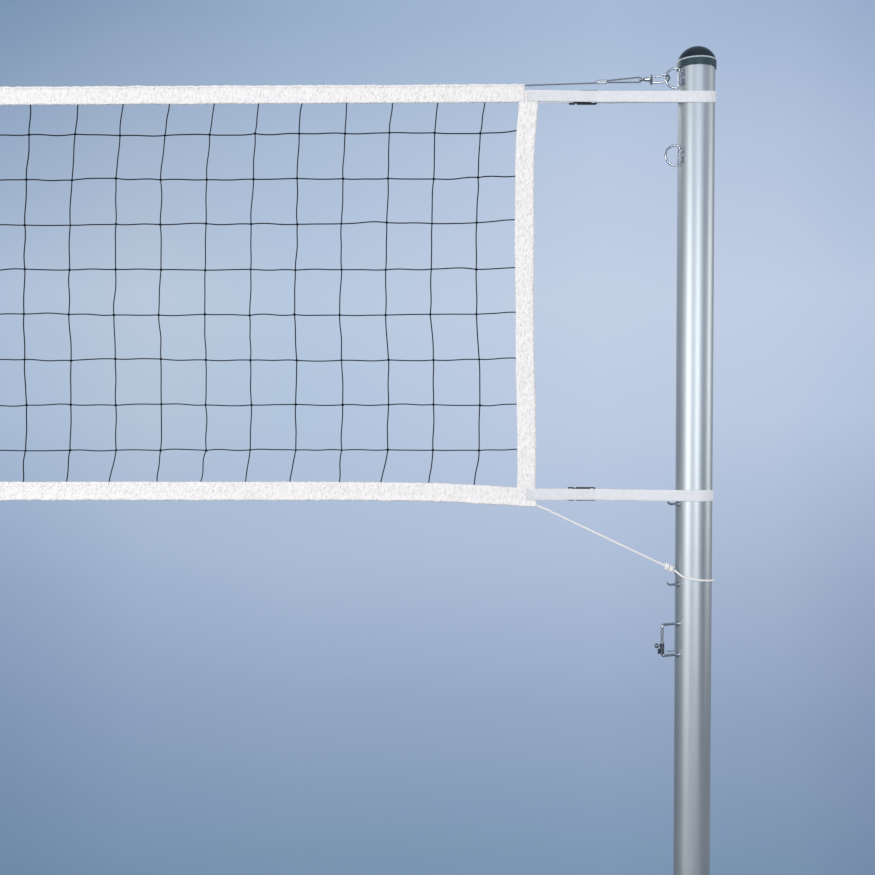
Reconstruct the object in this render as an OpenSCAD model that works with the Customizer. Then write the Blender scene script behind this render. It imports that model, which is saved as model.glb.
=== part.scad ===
// Volleyball net hung between two round aluminium posts.
// Origin: midway between the posts, level with their lower ends. X runs along the net, Z is up,
// -Y is the front. The court surface lies foot_len above the origin.
// The right end is drawn with its post on the Z axis, the net toward -X and the court at z = 0.

/* [Posts] */
// Outside diameter of the post tube
post_od = 82.55; // [79.55:0.5:86.05]
// Wall of the post tube
post_wall = 3.2; // [2.6:0.1:4.5]
// Height of the tube above the court
post_height = 2481; // [2474:1:2500]
// Depth of the tube's foot in the ground sleeve
foot_len = 250; // [150:10:400]
// Length of the cap's skirt down the tube
cap_skirt = 16; // [12:0.5:18]
// Wall of the cap
cap_wall = 2.6; // [2:0.1:3.5]
// Height of the cap's dome
cap_dome = 32.5; // [26:0.5:38]

/* [Net] */
// Length over the side bands
net_len = 9754; // [9500:2:10000]
// Height over the bands
net_height = 948; // [930:1:960]
// Height of the net's top edge above the court
net_top = 2430; // [2424:1:2436]
// Side band to post axis
edge_gap = 368; // [350:1:400]
// Height of the top band
top_band = 41; // [38:1:44]
// Height of the bottom band
bottom_band = 41; // [38:1:44]
// Width of a side band
side_band = 43; // [40:1:46]
// Thickness of the folded bands
band_t = 3; // [2.6:0.1:3.4]
// Distance from the side band's outer edge in to the top band's end
top_band_in = 22; // [20:1:24]
// Distance that the bottom band runs past the side band
bottom_band_out = 8; // [4:1:12]
// Cord of the netting
mesh_cord = 3; // [2:0.5:4]
// Gaps along the net
mesh_cols = 58; // [40:1:60]
// Gaps up the net
mesh_rows = 5; // [3:1:5]
// Diameter of the top cable
cable_d = 3.2; // [2.8:0.1:3.4]
// Diameter of the bottom cord
cord_d = 4.8; // [4.4:0.1:5]

/* [Rings] */
// Depth of the upper ring's centre below the top of the post
upper_ring_drop = 40; // [34:1:44]
// Distance between the two rings
ring_spacing = 173; // [160:1:200]
// Wire of the rings
ring_wire = 5; // [4.6:0.1:5.2]
// Radius of a ring's bow, to the middle of its wire
ring_bow = 22.2; // [22:0.1:24]
// Straight stretch between a ring's corner and its bow
ring_straight = 2.2; // [1:0.1:5]
// Radius of a ring's corners, to the middle of its wire
ring_corner = 7; // [6:0.1:7]
// Height of the clip
clip_h = 34; // [30:1:38]
// Height of the clip's knuckle
knuckle_h = 28; // [24:0.5:28.5]
// Sheet of the clip
clip_t = 1.8; // [1.2:0.1:2.2]
// Half of the angle that a clip covers on the post
clip_turn = 18; // [17.5:0.5:22]
// Diameter of the rivets
rivet_d = 3.2; // [2.6:0.1:3.6]

/* [Hooks and bracket] */
// Rod of the small hooks
hook_rod = 5; // [4:0.1:5.4]
// Reach of the hooks from the post
hook_reach = 31; // [28:0.5:36]
// Bend radius of the hooks, to the middle of the rod
hook_bend = 6; // [5:0.5:8]
// Depth of the lower hook below the net's bottom edge
lower_hook_drop = 185; // [180:1:200]
// Height of the bracket's lower arm above the court
bracket_z = 1136; // [1100:1:1150]
// Height between the bracket's arms
bracket_h = 71; // [68:1:90]
// Reach of the bracket from the post
bracket_reach = 42; // [40:1:50]
// Rod of the bracket
bracket_rod = 6.3; // [5.5:0.1:7]
// Height of the latch collar
latch_h = 24; // [20:0.5:26]

/* [Snap hook and cable eye] */
// Rod of the snap hook
snap_rod = 5; // [4.6:0.1:5]
// Radius of the snap hook's nose, to the middle of the rod
snap_bow = 9.5; // [9.5:0.1:10.5]
// Length of the snap hook from its nose centre to the yoke
snap_len = 28.25; // [28:0.25:34]
// Rod of the gate
gate_rod = 3.6; // [3.2:0.1:3.8]
// Radius of the swivel eye, to the middle of its wire
eye_r = 5.2; // [5.2:0.1:6]
// Wire of the swivel eye
eye_wire = 4.2; // [3.8:0.1:4.2]
// Distance from the swivel eye to the ferrule
eye_to_ferrule = 80; // [60:1:120]
// Length of the ferrule
ferrule_len = 22; // [18:1:30]

/* [Straps] */
// Width of the webbing
strap_w = 25.4; // [23:0.2:25.4]
// Thickness of the webbing
strap_t = 1.6; // [1.2:0.1:1.8]
// Depth of the upper strap on the post below the net's top edge
upper_strap_drop = 38; // [34:1:42]
// Height of the lower strap above the net's bottom edge
lower_strap_rise = 20; // [20:1:24]
// Depth of the upper buckle below the net's top edge
upper_buckle_drop = 27; // [26:1:29]
// Distance from the post axis to the socket's outer end
socket_x = 225; // [200:1:245]
// Length of a buckle socket
socket_len = 46; // [44:1:50]
// Thickness of a buckle
buckle_t = 10; // [9.4:0.2:12]
// Margin of the buckle past the webbing's edge
buckle_margin = 2.55; // [2.2:0.05:3.5]

/* [Hidden] */
fit_turn = 22;          // fittings face the net, turned this far to the front
seat = 0.05;            // rest gap between seated rigid pieces
run_gap = 0.08;         // radial gap of turning and sliding pieces
soft_gap = 0.3;         // rest gap of webbing and cord
post_r = post_od / 2;
post_x = net_len / 2 + edge_gap;

// Net
net_bottom = net_top - net_height;
cable_bore = cable_d / 2 + soft_gap;
cord_bore = cord_d / 2 + 0.25;
fold_wall = 1.1;
cable_z = net_top - cable_bore - fold_wall;
cord_z = net_bottom + cord_bore + fold_wall;
top_half = net_len / 2 - top_band_in;
bottom_half = net_len / 2 + bottom_band_out;
mesh_x = net_len / 2 - side_band;
mesh_bottom = net_bottom + bottom_band;
mesh_top = net_top - top_band;
side_top = net_top - 12;

// Rings
wire_r = ring_wire / 2;
leg_rho = post_r + 0.8 + wire_r;
leg_x = -leg_rho * cos(fit_turn);
leg_y = -leg_rho * sin(fit_turn);
leg_half = ring_bow - ring_corner;
bow_in = ring_corner + ring_straight;
ring_reach = bow_in + ring_bow;
upper_ring_z = post_height - upper_ring_drop;
lower_ring_z = upper_ring_z - ring_spacing;
knuckle_r = wire_r + 1.9;
rivet_turn = 12.5;
head_r = rivet_d / 2 + 1.2;

// Pull line from the upper ring to the cable's exit from the top band
exit_x = -edge_gap - top_band_in;
pull_yaw = atan2(-leg_y, exit_x - leg_x);
pull_x = leg_x + ring_reach * cos(pull_yaw);
pull_y = leg_y + ring_reach * sin(pull_yaw);
pull_run = norm([exit_x - pull_x, pull_y]);
pull_fall = atan2(upper_ring_z - cable_z, pull_run);
pull_len = norm([pull_run, upper_ring_z - cable_z]);

// Snap hook, along the pull line from the ring's wire
hook_roll = 40;
snap_r = snap_rod / 2;
nose_u = snap_bow - snap_r - wire_r - 2.5;
yoke_u = nose_u + snap_len;
pivot_u = yoke_u + 2;
gate_r = gate_rod / 2;
gate_v = snap_bow - snap_r - gate_r - 0.2;
gate_end = nose_u + 5.5;
pin_r = 1.3;
yoke_len = 7;
yoke_t = 10;
barrel_u = yoke_u + yoke_len;
barrel_len = 8.4;
stem_r = 2.2;
collar_u = barrel_u + barrel_len + 0.1;
collar_len = 3.4;
eye_u = collar_u + collar_len + 0.8 + eye_r - eye_wire / 2;

// Cable eye and ferrule
cable_r = cable_d / 2;
bend_r = 5.5;
bend_u = eye_u + eye_r + bend_r - eye_wire / 2 - cable_r - 0.1;
ferrule_u = eye_u + eye_to_ferrule;
lane = cable_r + 0.3;
ferrule_r = cable_r + 1.6;
straight_run = 300;     // the cable runs straight from this far inside the top band's end

// Straps and buckles
upper_strap_z = net_top - upper_strap_drop;
upper_buckle_z = net_top - upper_buckle_drop;
upper_sew_z = upper_buckle_z + 2;
lower_strap_z = net_bottom + lower_strap_rise;
strap_y = band_t / 2 + seat + strap_t / 2;
sew_x = -edge_gap - 17;
bend_x = -socket_x + 1;
loop_r = post_r + soft_gap + strap_t / 2;
buckle_h = strap_w + 2 * buckle_margin;
buckle_y = buckle_t / 2 - strap_y + strap_t / 2 + 0.2;
bar_r = 2;
turn_r = bar_r + 0.1 + strap_t / 2;
lap = 0.5;              // straight runs of webbing end this far inside a loop,
ply = 0.02;             // which is this much thicker on each side
socket_bar_x = -socket_x - bar_r;
mouth_x = -socket_x - socket_len;
plug_base = 14;
plug_bar_x = mouth_x - 3.2 - plug_base + bar_r;
prong_len = 24;

// Hooks
hook_r = hook_rod / 2;
hook_turn = 50;
hook_tip = 4;
nut_flange_r = hook_r + 4.4;
nut_flange_t = 1.5;
nut_r = hook_rod * 0.93;
nut_t = 4;
inner_r = post_r - post_wall;
nut_seat = sqrt(inner_r * inner_r - nut_r * nut_r) - seat;
upper_hook_z = lower_strap_z - strap_w / 2 - nut_flange_r - 1.7;
lower_hook_z = net_bottom - lower_hook_drop;

// Bottom cord: knot, and a loop that leans round the post
cord_r = cord_d / 2;
cord_exit = -edge_gap + bottom_band_out;
knot_reach = 47;
knot_front = 15;
knot_drop = 147;
knot_end = [-knot_reach, -knot_front, net_bottom - knot_drop];
tie_drop = 180;
tie_low = net_bottom - tie_drop;
tie_rise = 10;
tie_r = post_r + soft_gap + cord_r;
knot_az = atan2(knot_end.y, knot_end.x);
knot_turn = acos(tie_r / norm([knot_end.x, knot_end.y]));
loop_front = knot_az + knot_turn;
loop_back = knot_az - knot_turn + 360;
wrap_r = cord_d + 0.15;
wrap_pitch = cord_d - 0.3;

// Bracket
arm_r = bracket_rod / 2;
bar_rho = post_r + bracket_reach;
elbow = 5;
foot_r = arm_r + 4.2;
foot_t = 3;
cone_t = 4;
keeper_r = 1.2;
keeper_rise = 8.8;
latch_r = arm_r + run_gap;
latch_wall = 1.8;
latch_low = bracket_z + elbow + 0.5;

// Cap
cap_r = post_r + 0.1 + cap_wall;
cap_step = 2.5;
dome_base = cap_r - 0.6;
dome_r = (dome_base * dome_base + cap_dome * cap_dome) / (2 * cap_dome);

// Placement ------------------------------------------------------------------------------------

module right() {
    translate([post_x, 0, foot_len])
        children();
}

module left() {
    mirror([1, 0, 0])
        right()
            children();
}

// A fitting on the post: -X points away from the post axis
module at_fit(z) {
    translate([0, 0, z])
        rotate([0, 0, fit_turn])
            children();
}

// On the pull line: +X points from the ring's wire to the net
module at_pull() {
    translate([pull_x, pull_y, upper_ring_z])
        rotate([0, pull_fall, pull_yaw])
            children();
}

// In the snap hook's own plane, XY
module in_hook() {
    at_pull()
        rotate([hook_roll, 0, 0])
            children();
}

// Building blocks ------------------------------------------------------------------------------

// Straight rod from the origin along +X
module rod(length, r) {
    rotate([0, 90, 0])
        cylinder(h = length, r = r, $fn = 32);
}

// Round bend in the XY plane about the origin, from the +X axis
module bend(bend_radius, r, angle) {
    rotate_extrude(angle = angle, $fn = 64)
        translate([bend_radius, 0])
            circle(r = r, $fn = 32);
}

// Webbing stood on edge between two points in plan, w high about heights z0 and z1
module webbing(p, q, z0, z1) {
    run = norm(q - p);
    translate([p.x, p.y, 0])
        rotate([90, 0, atan2(q.y - p.y, q.x - p.x)])
            translate([0, 0, -strap_t / 2])
                linear_extrude(strap_t)
                    polygon([[0, z0 - strap_w / 2], [run, z1 - strap_w / 2],
                        [run, z1 + strap_w / 2], [0, z0 + strap_w / 2]]);
}

// Rounded fold where two stretches of webbing meet, a hair thicker than they are
module fold(p, z) {
    translate([p.x, p.y, z - strap_w / 2 - ply])
        cylinder(h = strap_w + 2 * ply, r = strap_t / 2 + ply, $fn = 24);
}

// Flat plate in the XZ plane with rounded corners, one end at x = 0, centred on Y and Z
module plate(length, height, thick, r) {
    rotate([90, 0, 0])
        translate([0, 0, -thick / 2])
            linear_extrude(thick)
                union() {
                    translate([r, -height / 2])
                        square([length - 2 * r, height]);
                    translate([0, -height / 2 + r])
                        square([length, height - 2 * r]);
                    for (x = [r, length - r], y = [-height / 2 + r, height / 2 - r])
                        translate([x, y])
                            circle(r = r, $fn = 32);
                }
}

function unit(v) = v / norm(v);

function heading(p, i) = unit(p[min(i + 1, len(p) - 1)] - p[max(i - 1, 0)]);

function ring_at(p, i, r, sides, up) =
    let(t = heading(p, i), n = unit(cross(up, t)), b = cross(t, n))
    [for (k = [0 : sides - 1]) p[i] + r * (cos(360 * k / sides) * n + sin(360 * k / sides) * b)];

// Round tube along a list of points; up is never along the tube
module tube(p, r, sides, up) {
    rings = [for (i = [0 : len(p) - 1]) each ring_at(p, i, r, sides, up)];
    last = (len(p) - 1) * sides;
    polyhedron(points = rings, faces = concat(
        [for (i = [0 : len(p) - 2], k = [0 : sides - 1])
            [i * sides + k, i * sides + (k + 1) % sides, (i + 1) * sides + k]],
        [for (i = [0 : len(p) - 2], k = [0 : sides - 1])
            [i * sides + (k + 1) % sides, (i + 1) * sides + (k + 1) % sides, (i + 1) * sides + k]],
        [for (k = [1 : sides - 2]) [0, k + 1, k]],
        [for (k = [1 : sides - 2]) [last, last + k, last + k + 1]]));
}

// Net --------------------------------------------------------------------------------------------

module net_mesh() {
    pitch_x = 2 * mesh_x / mesh_cols;
    pitch_z = (mesh_top - mesh_bottom) / mesh_rows;
    color([0.08, 0.08, 0.09])
        translate([0, mesh_cord / 2, foot_len])
            rotate([90, 0, 0])
                linear_extrude(mesh_cord)
                    union() {
                        for (i = [1 : mesh_cols - 1])
                            translate([-mesh_x + i * pitch_x - mesh_cord / 2, mesh_bottom])
                                square([mesh_cord, mesh_top - mesh_bottom]);
                        for (j = [1 : mesh_rows - 1])
                            translate([-mesh_x, mesh_bottom + j * pitch_z - mesh_cord / 2])
                                square([2 * mesh_x, mesh_cord]);
                    }
}

// Folded band along X: a flat strip with a round fold on one edge for the cable or cord
module band(half, low, high, fold_z, bore) {
    translate([-half, 0, foot_len])
        difference() {
            union() {
                translate([0, -band_t / 2, low])
                    cube([2 * half, band_t, high - low]);
                translate([0, 0, fold_z])
                    rod(2 * half, bore + fold_wall);
            }
            translate([-1, 0, fold_z])
                rod(2 * half + 2, bore);
        }
}

module top_hem() {
    color([0.93, 0.93, 0.92])
        band(top_half, net_top - top_band, cable_z, cable_z, cable_bore);
}

module bottom_hem() {
    color([0.93, 0.93, 0.92])
        band(bottom_half, cord_z, net_bottom + bottom_band, cord_z, cord_bore);
}

module side_hem() {
    color([0.93, 0.93, 0.92])
        rotate([90, 0, 0])
            translate([0, 0, -band_t / 2])
                linear_extrude(band_t)
                    polygon([[-edge_gap - side_band, mesh_bottom], [-edge_gap, mesh_bottom],
                        [-edge_gap, side_top], [exit_x + soft_gap, side_top],
                        [exit_x + soft_gap, mesh_top], [-edge_gap - side_band, mesh_top]]);
}

// Points of the cable's eye in the pull line's own frame: [along, up]
eye_path = concat(
    [[ferrule_u + ferrule_len + 1, lane], [ferrule_u + 1, lane], [ferrule_u - 3, lane + 0.1]],
    [for (a = [90 : 20 : 270]) [bend_u + bend_r * cos(a), bend_r * sin(a)]],
    [[ferrule_u - 3, -lane - 0.1], [ferrule_u + 1, -lane], [ferrule_u + ferrule_len, -lane],
        [ferrule_u + ferrule_len + 8, -lane + 0.2]]);

// The pull line's frame to the right end's frame
function pulled(a) = [
    pull_x + (a.x * cos(pull_fall) + a.y * sin(pull_fall)) * cos(pull_yaw),
    pull_y + (a.x * cos(pull_fall) + a.y * sin(pull_fall)) * sin(pull_yaw),
    upper_ring_z - a.x * sin(pull_fall) + a.y * cos(pull_fall)];

cable_half = concat([for (a = eye_path) pulled(a)],
    [[exit_x + 4, 0, cable_z], [exit_x - 20, 0, cable_z], [exit_x - straight_run, 0, cable_z]]);

// The bottom cord from its end behind the knot, round the post and into the bottom band
cord_half = concat(
    [knot_end + [0.8, cord_d + soft_gap, -6]],
    [for (i = [0 : 30]) let(a = loop_back - i * (loop_back - loop_front) / 30)
        [tie_r * cos(a), tie_r * sin(a), tie_low + tie_rise * (1 - cos(a))]],
    [knot_end, [cord_exit + 8, 0, cord_z - 2], [cord_exit + 3, 0, cord_z],
        [cord_exit - 40, 0, cord_z]]);

function flipped(p) = [for (i = [len(p) - 1 : -1 : 0]) [-p[i].x, p[i].y, p[i].z]];

function placed(p) = [for (a = p) a + [post_x, 0, foot_len]];

module top_cable() {
    color([0.62, 0.62, 0.64])
        tube(concat(placed(cable_half), flipped(placed(cable_half))), cable_r, 8, [0, 1, 0]);
}

module bottom_cord() {
    color([0.95, 0.95, 0.93])
        tube(concat(placed(cord_half), flipped(placed(cord_half))), cord_r, 8, [0, 0, 1]);
}

// Post ---------------------------------------------------------------------------------------------

// Round hole through the tube's wall, toward -X
module wall_hole(r) {
    translate([-post_r - 1, 0, 0])
        rod(post_wall + 2, r);
}

module post() {
    color([0.68, 0.72, 0.74])
        difference() {
            translate([0, 0, -foot_len])
                cylinder(h = foot_len + post_height, r = post_r, $fn = 128);
            translate([0, 0, -foot_len - 1])
                cylinder(h = foot_len + post_height + 2, r = inner_r, $fn = 128);
            for (z = [upper_hook_z, lower_hook_z])
                at_fit(z)
                    wall_hole(hook_r + 0.1);
            for (z = [upper_ring_z, lower_ring_z], turn = [-rivet_turn, rivet_turn])
                at_fit(z)
                    rotate([0, 0, turn])
                        wall_hole(rivet_d / 2 + 0.1);
        }
}

module post_cap() {
    color([0.05, 0.06, 0.08])
        difference() {
            union() {
                translate([0, 0, post_height - cap_skirt])
                    cylinder(h = cap_skirt + cap_step, r = cap_r, $fn = 128);
                intersection() {
                    translate([0, 0, post_height + cap_step + cap_dome - dome_r])
                        sphere(r = dome_r, $fn = 128);
                    translate([0, 0, post_height + 1])
                        cylinder(h = cap_dome + 5, r = dome_base, $fn = 128);
                }
            }
            translate([0, 0, post_height - cap_skirt - 1])
                cylinder(h = cap_skirt + 1 + seat, r = post_r + 0.1, $fn = 128);
            intersection() {
                translate([0, 0, post_height + cap_step + cap_dome - dome_r])
                    sphere(r = dome_r - cap_wall, $fn = 128);
                translate([0, 0, post_height - 1])
                    cylinder(h = cap_dome + 5, r = inner_r, $fn = 128);
            }
        }
}

// Rings and clips --------------------------------------------------------------------------------

// D ring with its straight leg on the Z axis and its bow toward -X
module d_ring() {
    color([0.7, 0.71, 0.72])
        rotate([90, 0, 0])
            union() {
                translate([0, -leg_half, 0])
                    rotate([-90, 0, 0])
                        cylinder(h = 2 * leg_half, r = wire_r, $fn = 32);
                translate([-ring_corner, leg_half, 0])
                    bend(ring_corner, wire_r, 90);
                translate([-ring_corner, -leg_half, 0])
                    rotate([0, 0, -90])
                        bend(ring_corner, wire_r, 90);
                for (side = [-1, 1])
                    translate([-bow_in, side * ring_bow, 0])
                        rod(ring_straight, wire_r);
                translate([-bow_in, 0, 0])
                    rotate([0, 0, 90])
                        bend(ring_bow, wire_r, 180);
            }
}

module upper_ring() {
    translate([leg_x, leg_y, upper_ring_z])
        rotate([0, 0, pull_yaw - 180])
            d_ring();
}

module lower_ring() {
    translate([leg_x, leg_y, lower_ring_z])
        d_ring();
}

// Curved saddle riveted to the post, with a knuckle round the ring's leg
module ring_clip(z) {
    color([0.75, 0.76, 0.77])
        at_fit(z)
            difference() {
                union() {
                    rotate([0, 0, 180 - clip_turn])
                        rotate_extrude(angle = 2 * clip_turn, $fn = 128)
                            translate([post_r + seat, -clip_h / 2])
                                square([clip_t, clip_h]);
                    translate([-leg_rho, 0, -knuckle_h / 2])
                        cylinder(h = knuckle_h, r = knuckle_r, $fn = 48);
                }
                translate([0, 0, -clip_h])
                    cylinder(h = 2 * clip_h, r = post_r + seat, $fn = 128);
                translate([-leg_rho, 0, -clip_h])
                    cylinder(h = 2 * clip_h, r = wire_r + run_gap, $fn = 48);
                for (side = [0, 1])
                    mirror([0, 0, side])
                        translate([-leg_rho, 0, knuckle_h / 2 - 0.3])
                            cylinder(h = clip_h, r = wire_r + 1.2, $fn = 48);
                for (turn = [-rivet_turn, rivet_turn])
                    rotate([0, 0, turn])
                        translate([-post_r - clip_t - 2, 0, 0])
                            rod(clip_t + 4, rivet_d / 2 + 0.1);
            }
}

module upper_ring_clip() {
    ring_clip(upper_ring_z);
}

module lower_ring_clip() {
    ring_clip(lower_ring_z);
}

// Blind rivet along -X: domed head outside the clip, upset end inside the tube
module rivet() {
    head_x = post_r + seat + clip_t + seat;
    tail_x = sqrt(inner_r * inner_r - head_r * head_r) - seat;
    translate([-head_x, 0, 0])
        rod(head_x - tail_x + 0.5, rivet_d / 2);
    intersection() {
        translate([-head_x + head_r * 0.5, 0, 0])
            sphere(r = head_r * 1.12, $fn = 48);
        translate([-head_x - head_r, 0, 0])
            rod(head_r, head_r);
    }
    translate([-tail_x, 0, 0])
        rod(1.6, head_r);
}

module clip_rivets() {
    color([0.6, 0.61, 0.62])
        for (z = [upper_ring_z, lower_ring_z], turn = [-rivet_turn, rivet_turn])
            at_fit(z)
                rotate([0, 0, turn])
                    rivet();
}

// Hooks ------------------------------------------------------------------------------------------

// Open hook screwed through the tube's wall, its tip leaning up and out
module hook(z) {
    bend_x0 = post_r + hook_reach - hook_r - hook_bend * sin(hook_turn) - hook_tip * cos(hook_turn);
    root_x = nut_seat - nut_t - 1.5;
    color([0.72, 0.73, 0.74])
        at_fit(z) {
            translate([-bend_x0, 0, 0])
                rod(bend_x0 - root_x, hook_r);
            rotate([90, 0, 0])
                translate([-bend_x0, hook_bend, 0])
                    rotate([0, 0, 270 - hook_turn]) {
                        bend(hook_bend, hook_r, hook_turn);
                        translate([hook_bend, -hook_tip, 0])
                            rotate([-90, 0, 0])
                                cylinder(h = hook_tip, r = hook_r, $fn = 32);
                        translate([hook_bend, -hook_tip, 0])
                            sphere(r = hook_r, $fn = 32);
                    }
        }
}

module upper_hook() {
    hook(upper_hook_z);
}

module lower_hook() {
    hook(lower_hook_z);
}

module hook_nuts() {
    color([0.66, 0.67, 0.69])
        for (z = [upper_hook_z, lower_hook_z])
            at_fit(z) {
                difference() {
                    union() {
                        translate([-post_r - seat - nut_flange_t, 0, 0])
                            rod(nut_flange_t, nut_flange_r);
                        translate([-post_r - seat - nut_flange_t - nut_t, 0, 0])
                            rotate([0, 90, 0])
                                cylinder(h = nut_t, r = nut_r, $fn = 6);
                    }
                    translate([-post_r - nut_flange_t - nut_t - 1, 0, 0])
                        rod(nut_flange_t + nut_t + 2, hook_r + seat);
                }
                difference() {
                    translate([-nut_seat, 0, 0])
                        rotate([0, 90, 0])
                            cylinder(h = nut_t, r = nut_r, $fn = 6);
                    translate([-nut_seat - 1, 0, 0])
                        rod(nut_t + 2, hook_r + seat);
                }
            }
}

// Tie-off bracket --------------------------------------------------------------------------------

module tie_bracket() {
    arm_len = bracket_reach - elbow;
    color([0.66, 0.68, 0.7])
        at_fit(bracket_z)
            difference() {
                union() {
                    for (z = [0, bracket_h])
                        translate([0, 0, z]) {
                            translate([-post_r - arm_len, 0, 0])
                                rod(arm_len + 1, arm_r);
                            translate([-post_r - foot_t, 0, 0])
                                rod(foot_t + 1.5, foot_r);
                            translate([-post_r - foot_t, 0, 0])
                                rotate([0, -90, 0])
                                    cylinder(h = cone_t, r1 = foot_r - 1.2, r2 = arm_r, $fn = 32);
                        }
                    rotate([90, 0, 0]) {
                        translate([-bar_rho + elbow, elbow, 0])
                            rotate([0, 0, 180])
                                bend(elbow, arm_r, 90);
                        translate([-bar_rho + elbow, bracket_h - elbow, 0])
                            rotate([0, 0, 90])
                                bend(elbow, arm_r, 90);
                        translate([-post_r - foot_t - 3.5, keeper_rise - 2.5, 0])
                            bend(2.5, keeper_r, 90);
                    }
                    translate([-bar_rho, 0, elbow])
                        cylinder(h = bracket_h - 2 * elbow, r = arm_r, $fn = 32);
                    translate([-post_r - foot_t - 1, 0, 0])
                        cylinder(h = keeper_rise - 2.5, r = keeper_r, $fn = 24);
                    translate([-bar_rho + 12.5, 0, keeper_rise])
                        rod(bar_rho - 12.5 - post_r - foot_t - 3.5, keeper_r);
                    translate([-bar_rho + 12.5, 0, keeper_rise])
                        sphere(r = keeper_r, $fn = 24);
                }
                translate([0, 0, -20])
                    cylinder(h = bracket_h + 40, r = post_r + seat, $fn = 128);
            }
}

// Collar that slides on the bracket's upright, with a thumb tab and a knob
module bracket_latch() {
    tab_out = 5.7;
    knob_r = 5.5;
    knob_x = latch_r + latch_wall + tab_out + 4;
    color([0.16, 0.17, 0.18])
        at_fit(latch_low)
            translate([-bar_rho, 0, 0])
                difference() {
                    union() {
                        cylinder(h = latch_h, r = latch_r + latch_wall, $fn = 48);
                        translate([-latch_r - latch_wall - tab_out, -1.2, 0])
                            cube([tab_out + 2, 2.4, latch_h / 2]);
                        translate([-knob_x, 0, latch_h - 5])
                            rod(knob_x, 2);
                        translate([-knob_x, 0, latch_h - 5])
                            rotate([0, 90, 0])
                                sphere(r = knob_r, $fn = 48);
                    }
                    translate([0, 0, -1])
                        cylinder(h = latch_h + 2, r = latch_r, $fn = 48);
                }
}

// Snap hook --------------------------------------------------------------------------------------

module snap_hook() {
    yoke_low = -snap_bow - snap_r;
    yoke_high = gate_v + 3.3;
    color([0.63, 0.64, 0.65])
        in_hook() {
            translate([nose_u, 0, 0])
                rotate([0, 0, 90])
                    bend(snap_bow, snap_r, 180);
            translate([nose_u, snap_bow, 0])
                rod(6.5, snap_r);
            translate([nose_u + 6.5, snap_bow, 0])
                sphere(r = snap_r, $fn = 32);
            translate([nose_u, -snap_bow, 0])
                rod(snap_len + 1, snap_r);
            difference() {
                union() {
                    translate([0, 0, -yoke_t / 2])
                        linear_extrude(yoke_t)
                            polygon([[yoke_u, yoke_low], [yoke_u + 2.5, yoke_low],
                                [barrel_u, -yoke_t / 2], [barrel_u, yoke_t / 2],
                                [pivot_u + 3.3, yoke_high], [yoke_u, yoke_high]]);
                    translate([barrel_u - 0.5, 0, 0])
                        rod(barrel_len + 0.5, yoke_t / 2);
                }
                translate([yoke_u - 2, gate_v - 2.9, -gate_r - 0.2])
                    cube([pivot_u - yoke_u + 4.9, 20, gate_rod + 0.4]);
                translate([barrel_u - 3.2, 0, 0])
                    rod(3.2, stem_r + 1.7);
                translate([barrel_u - 1, 0, 0])
                    rod(barrel_len + 2, stem_r + run_gap);
            }
            translate([pivot_u, gate_v, -yoke_t / 2 - 0.4])
                cylinder(h = yoke_t + 0.8, r = pin_r, $fn = 32);
        }
}

module snap_gate() {
    color([0.58, 0.59, 0.6])
        in_hook()
            difference() {
                union() {
                    translate([gate_end, gate_v, 0])
                        rod(pivot_u - gate_end, gate_r);
                    translate([gate_end, gate_v, 0])
                        sphere(r = gate_r, $fn = 32);
                    translate([pivot_u, gate_v, -gate_r - 0.1])
                        cylinder(h = gate_rod + 0.2, r = pin_r + 1.3, $fn = 32);
                }
                translate([pivot_u, gate_v, -gate_rod])
                    cylinder(h = 2 * gate_rod, r = pin_r + seat, $fn = 32);
            }
}

module snap_eye() {
    color([0.63, 0.64, 0.65])
        at_pull() {
            translate([barrel_u - 2 - seat, 0, 0])
                rod(2, stem_r + 1.4);
            translate([barrel_u - 2 - seat, 0, 0])
                rod(barrel_len + 3, stem_r);
            difference() {
                translate([collar_u, 0, 0])
                    rod(collar_len, stem_r + 2.3);
                translate([eye_u, 0, -10])
                    cylinder(h = 20, r = eye_r - eye_wire / 2, $fn = 48);
            }
            translate([eye_u, 0, 0])
                rotate_extrude($fn = 64)
                    translate([eye_r, 0])
                        circle(r = eye_wire / 2, $fn = 32);
        }
}

module cable_ferrule() {
    color([0.78, 0.78, 0.79])
        at_pull()
            difference() {
                union() {
                    for (side = [-1, 1])
                        translate([ferrule_u, 0, side * lane])
                            rod(ferrule_len, ferrule_r);
                    translate([ferrule_u, -ferrule_r, -lane])
                        cube([ferrule_len, 2 * ferrule_r, 2 * lane]);
                }
                for (side = [-1, 1])
                    translate([ferrule_u - 1, 0, side * lane])
                        rod(ferrule_len + 2, cable_r + 0.15);
            }
}

// Straps, tabs and buckles -----------------------------------------------------------------------

// Half a turn of webbing round a buckle's bar, opening toward +X
module bar_turn(z) {
    translate([0, 0, z - strap_w / 2])
        rotate([0, 0, 90])
            rotate_extrude(angle = 180, $fn = 48)
                translate([turn_r - strap_t / 2 - ply, -ply])
                    square([strap_t + 2 * ply, strap_w + 2 * ply]);
}

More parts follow.
